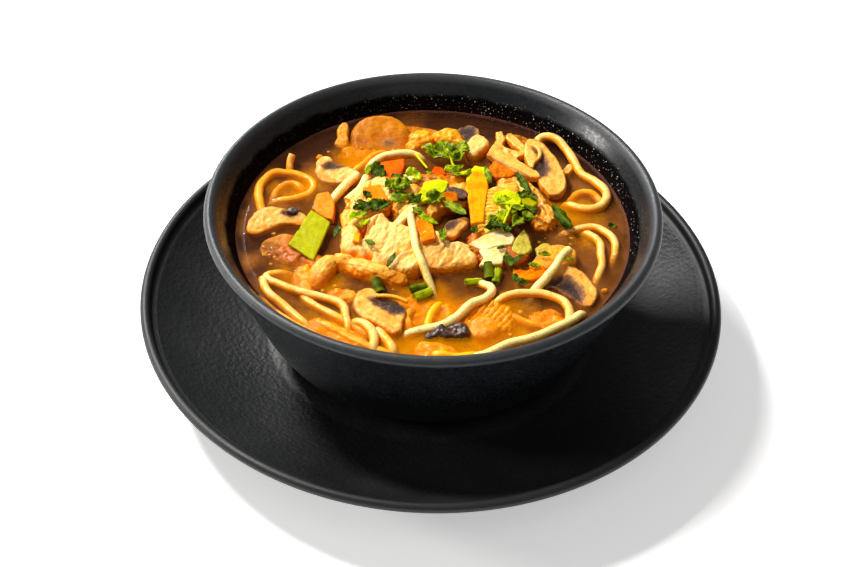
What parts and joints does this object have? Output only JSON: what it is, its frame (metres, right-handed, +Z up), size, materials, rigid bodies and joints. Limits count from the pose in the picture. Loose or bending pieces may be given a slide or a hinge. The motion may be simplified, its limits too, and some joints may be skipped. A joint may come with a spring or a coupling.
{
  "type": "tom yum soup in a bowl on a plate",
  "caption": "Tom yum soup with noodles, chicken, mushroom slices, vegetables and herbs in a round flared black stoneware bowl, standing on its matching shallow plate.",
  "frame": {"origin": "on the table under the middle of the plate", "axes": "+Z up, -Y towards the eater, +X to the eater's right"},
  "size_m": [0.2392, 0.2392, 0.0729],
  "materials": {
    "stoneware": "satin",
    "broth": "polished",
    "noodle": "satin",
    "chicken": "satin",
    "mushroom": "satin",
    "leek": "satin",
    "carrot": "satin",
    "pepper": "gloss",
    "onion": "satin",
    "chive": "satin"
  },
  "bodies": {
    "root": {"bowl": "stoneware", "broth": "broth", "carrot_back": "carrot", "carrot_centre": "carrot", "carrot_front": "carrot", "carrot_heap": "carrot", "carrot_left": "carrot", "chicken_back_left": "chicken", "chicken_back_right": "chicken", "chicken_centre": "chicken", "chicken_oval": "chicken", "chicken_pale_back": "chicken", "chicken_pale_left": "chicken", "chicken_ribbed": "chicken", "chicken_right": "chicken", "chicken_roll": "chicken", "chicken_strip": "chicken", "chive_front": "chive", "chive_left": "chive", "chive_right": "chive", "chive_ring": "chive", "leek_light": "leek", "leek_square": "leek", "leek_strip": "leek", "leek_white": "onion", "mushroom_back": "mushroom", "mushroom_cap_back": "mushroom", "mushroom_front": "mushroom", "mushroom_left": "mushroom", "mushroom_left_rear": "mushroom", "mushroom_right": "mushroom", "mushroom_right_back": "mushroom", "mushroom_small": "mushroom", "mushroom_stem_slice": "mushroom", "mushroom_stem_strip": "mushroom", "mushroom_sunk_front": "mushroom", "mushroom_yellow": "mushroom", "noodle_back_arc": "noodle", "noodle_front_arc": "noodle", "noodle_front_hook": "noodle", "noodle_front_left": "noodle", "noodle_front_rim": "noodle", "noodle_front_wave": "noodle", "noodle_heap_inner": "noodle", "noodle_heap_outer": "noodle", "noodle_left_loop": "noodle", "noodle_left_rim": "noodle", "noodle_left_stub": "noodle", "noodle_long_top": "noodle", "noodle_right_arc": "noodle", "noodle_right_bar": "noodle", "noodle_right_coil": "noodle", "noodle_right_top": "noodle", "onion_lower": "onion", "onion_right": "onion", "onion_upper": "onion", "pepper_red": "pepper", "pepper_small": "pepper", "plate": "stoneware", "yellow_wedge": "carrot"}
  },
  "joints": []
}
